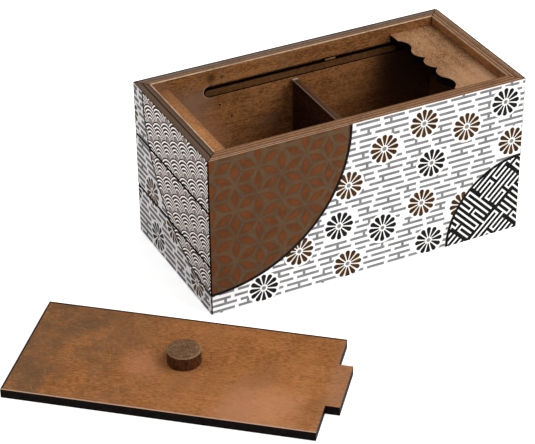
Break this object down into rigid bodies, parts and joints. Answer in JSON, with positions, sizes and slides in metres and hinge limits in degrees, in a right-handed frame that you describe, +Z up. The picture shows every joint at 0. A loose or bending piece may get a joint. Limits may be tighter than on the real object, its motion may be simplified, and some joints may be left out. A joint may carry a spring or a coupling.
{
  "type": "wooden puzzle box",
  "caption": "Open rectangular wooden box with printed sides, sliding slats on its left end, a recessed seat for a lift-off lid with a knob and an end tab, and a divider inside.",
  "frame": {"origin": "centre of the box's underside, where it stands on the table", "axes": "+Z up, +X along the box towards the scalloped shelf, -Y out of the printed front; the open lid lies on the same table at the front left"},
  "size_m": [0.2481, 0.1684, 0.075],
  "materials": {
    "printed_board": "thin plywood faced with a satin white, grey, brown and black geometric print",
    "stained_ply": "walnut-brown stained plywood, matt, plies showing on the edges",
    "pale_wood": "plain sanded wood"
  },
  "bodies": {
    "case": {"bottom_board": "stained_ply", "front_outer_board": "printed_board", "back_outer_board": "printed_board", "right_outer_board": "printed_board", "front_inner_board": "stained_ply", "back_inner_board": "stained_ply", "right_inner_board": "stained_ply", "left_inner_board": "stained_ply", "left_ledge": "stained_ply", "left_partition": "stained_ply", "right_shelf": "stained_ply", "shelf_cleat_right": "stained_ply", "shelf_cleat_front": "stained_ply", "divider": "stained_ply"},
    "slat_top": {"slat_top": "printed_board", "slat_top_key": "pale_wood", "slat_top_keeper": "pale_wood"},
    "slat_middle": {"slat_middle": "printed_board", "slat_middle_key": "pale_wood", "slat_middle_keeper": "pale_wood"},
    "slat_bottom": {"slat_bottom": "printed_board", "slat_bottom_key": "pale_wood", "slat_bottom_keeper": "pale_wood"},
    "lock_bar": {"lock_bar": "pale_wood", "lock_bar_finger": "pale_wood"},
    "lid": {"lid_board": "stained_ply", "lid_knob": "stained_ply", "knob_dowel": "pale_wood"}
  },
  "joints": [
    {"name": "slat_bottom_slide", "type": "slide", "parent": "case", "child": "slat_bottom", "axis": [0, 0, 1], "range_m": [0, 0.0025]},
    {"name": "slat_middle_slide", "type": "slide", "parent": "slat_bottom", "child": "slat_middle", "axis": [0, 0, 1], "range_m": [0, 0.0025]},
    {"name": "slat_top_slide", "type": "slide", "parent": "slat_middle", "child": "slat_top", "axis": [0, 0, 1], "range_m": [0, 0.0025]},
    {"name": "lock_bar_slide", "type": "slide", "parent": "case", "child": "lock_bar", "axis": [1, 0, 0], "range_m": [0, 0.008]},
    {"name": "lid_lift", "type": "slide", "parent": "case", "child": "lid", "axis": [0, 0, 1], "range_m": [0, 0.1]}
  ]
}
